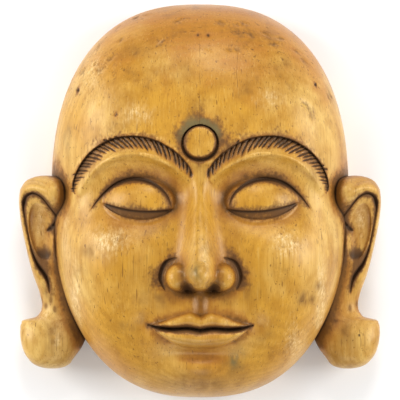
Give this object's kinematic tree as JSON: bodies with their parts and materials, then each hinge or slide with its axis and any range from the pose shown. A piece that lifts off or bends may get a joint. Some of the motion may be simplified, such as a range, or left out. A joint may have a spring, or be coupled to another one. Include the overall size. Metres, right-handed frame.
{
  "type": "carved wooden wall mask",
  "caption": "Carved hardwood wall mask of a calm, bald Buddha head with long ear lobes, hollow behind and notched in the top of its rim to hang on a nail.",
  "frame": {"origin": "on the back plane that the mask lies on, in the middle of its outline", "axes": "+Z the way the face looks, +Y to the crown, +X to the right of someone facing the mask"},
  "size_m": [0.274, 0.3, 0.1143],
  "materials": {
    "carved_wood": "waxed, satin, dark stain in the carved lines"
  },
  "bodies": {
    "root": {"buddha_mask": "carved_wood"}
  },
  "joints": []
}
